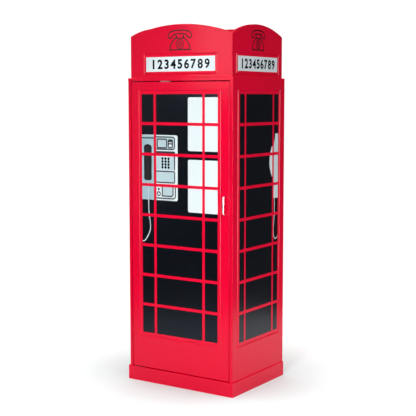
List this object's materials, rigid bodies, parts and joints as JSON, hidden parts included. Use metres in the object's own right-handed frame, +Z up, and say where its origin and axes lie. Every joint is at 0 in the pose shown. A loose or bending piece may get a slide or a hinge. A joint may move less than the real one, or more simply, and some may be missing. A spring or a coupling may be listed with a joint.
{
  "type": "telephone booth cabinet",
  "caption": "Free-standing red storage cabinet shaped like a telephone booth, with an arched header, a plinth, printed window panels and one hinged door over inside shelves.",
  "frame": {"origin": "on the floor, at the middle of the cabinet body's width and depth", "axes": "+Z up, +X to the right of a person who faces the door, +Y from the door to the back"},
  "size_m": [0.494, 0.409, 1.4],
  "materials": {
    "red_lacquer": "satin red lacquer on fibreboard",
    "red_print": "red ink on rigid vinyl sheet, satin",
    "black_print": "black ink on rigid vinyl sheet, satin",
    "white_print": "white ink on rigid vinyl sheet, satin",
    "blue_print": "pale blue ink on rigid vinyl sheet, satin",
    "zinc_steel": "zinc plated",
    "handle_chrome": "polished",
    "raw_timber": "raw softwood",
    "nylon": "natural nylon",
    "magnet_ferrite": "sintered ferrite",
    "rubber_pad": "soft pad"
  },
  "bodies": {
    "root": {"back_panel": "red_lacquer", "back_panel_screws": "zinc_steel", "base_screws": "zinc_steel", "bottom_panel": "red_lacquer", "carcass_dowels": "raw_timber", "catch_housing": "nylon", "catch_magnet": "magnet_ferrite", "catch_pole_plates": "zinc_steel", "catch_screws": "zinc_steel", "door_bumper_pads": "rubber_pad", "frame_pivot_plate_bottom": "zinc_steel", "frame_pivot_plate_top": "zinc_steel", "frame_pivot_screws": "zinc_steel", "front_sign_panel": "red_print", "header_back_board": "red_lacquer", "header_corner_blocks": "raw_timber", "header_dowels": "raw_timber", "header_front_board": "red_lacquer", "header_left_board": "red_lacquer", "header_right_board": "red_lacquer", "header_roof_cleats": "raw_timber", "header_roof_panel": "red_lacquer", "header_screws": "zinc_steel", "left_print_panel": "red_print", "left_side_panel": "red_lacquer", "left_sign_panel": "red_print", "pivot_washers": "nylon", "plinth_back_rail": "red_lacquer", "plinth_centre_rail": "raw_timber", "plinth_corner_blocks": "raw_timber", "plinth_front_rail": "red_lacquer", "plinth_left_rail": "red_lacquer", "plinth_right_rail": "red_lacquer", "plinth_screws": "zinc_steel", "right_print_panel": "red_print", "right_side_panel": "red_lacquer", "right_sign_panel": "red_print", "shelf_1": "red_lacquer", "shelf_2": "red_lacquer", "shelf_3": "red_lacquer", "shelf_4": "red_lacquer", "shelf_pins": "zinc_steel", "top_panel": "red_lacquer"},
    "door": {"door_board": "red_lacquer", "door_print_panel": "red_print", "door_handle": "handle_chrome", "handle_screws": "zinc_steel", "door_pivot_plate_top": "zinc_steel", "door_pivot_plate_bottom": "zinc_steel", "door_pivot_screws": "zinc_steel", "strike_plate": "zinc_steel", "strike_screws": "zinc_steel"}
  },
  "joints": [
    {"name": "door_swing", "type": "hinge", "parent": "root", "child": "door", "pos_m": [-0.2175, -0.1855, 0.6215], "axis": [0, 0, -1], "range_deg": [0, 110]}
  ]
}
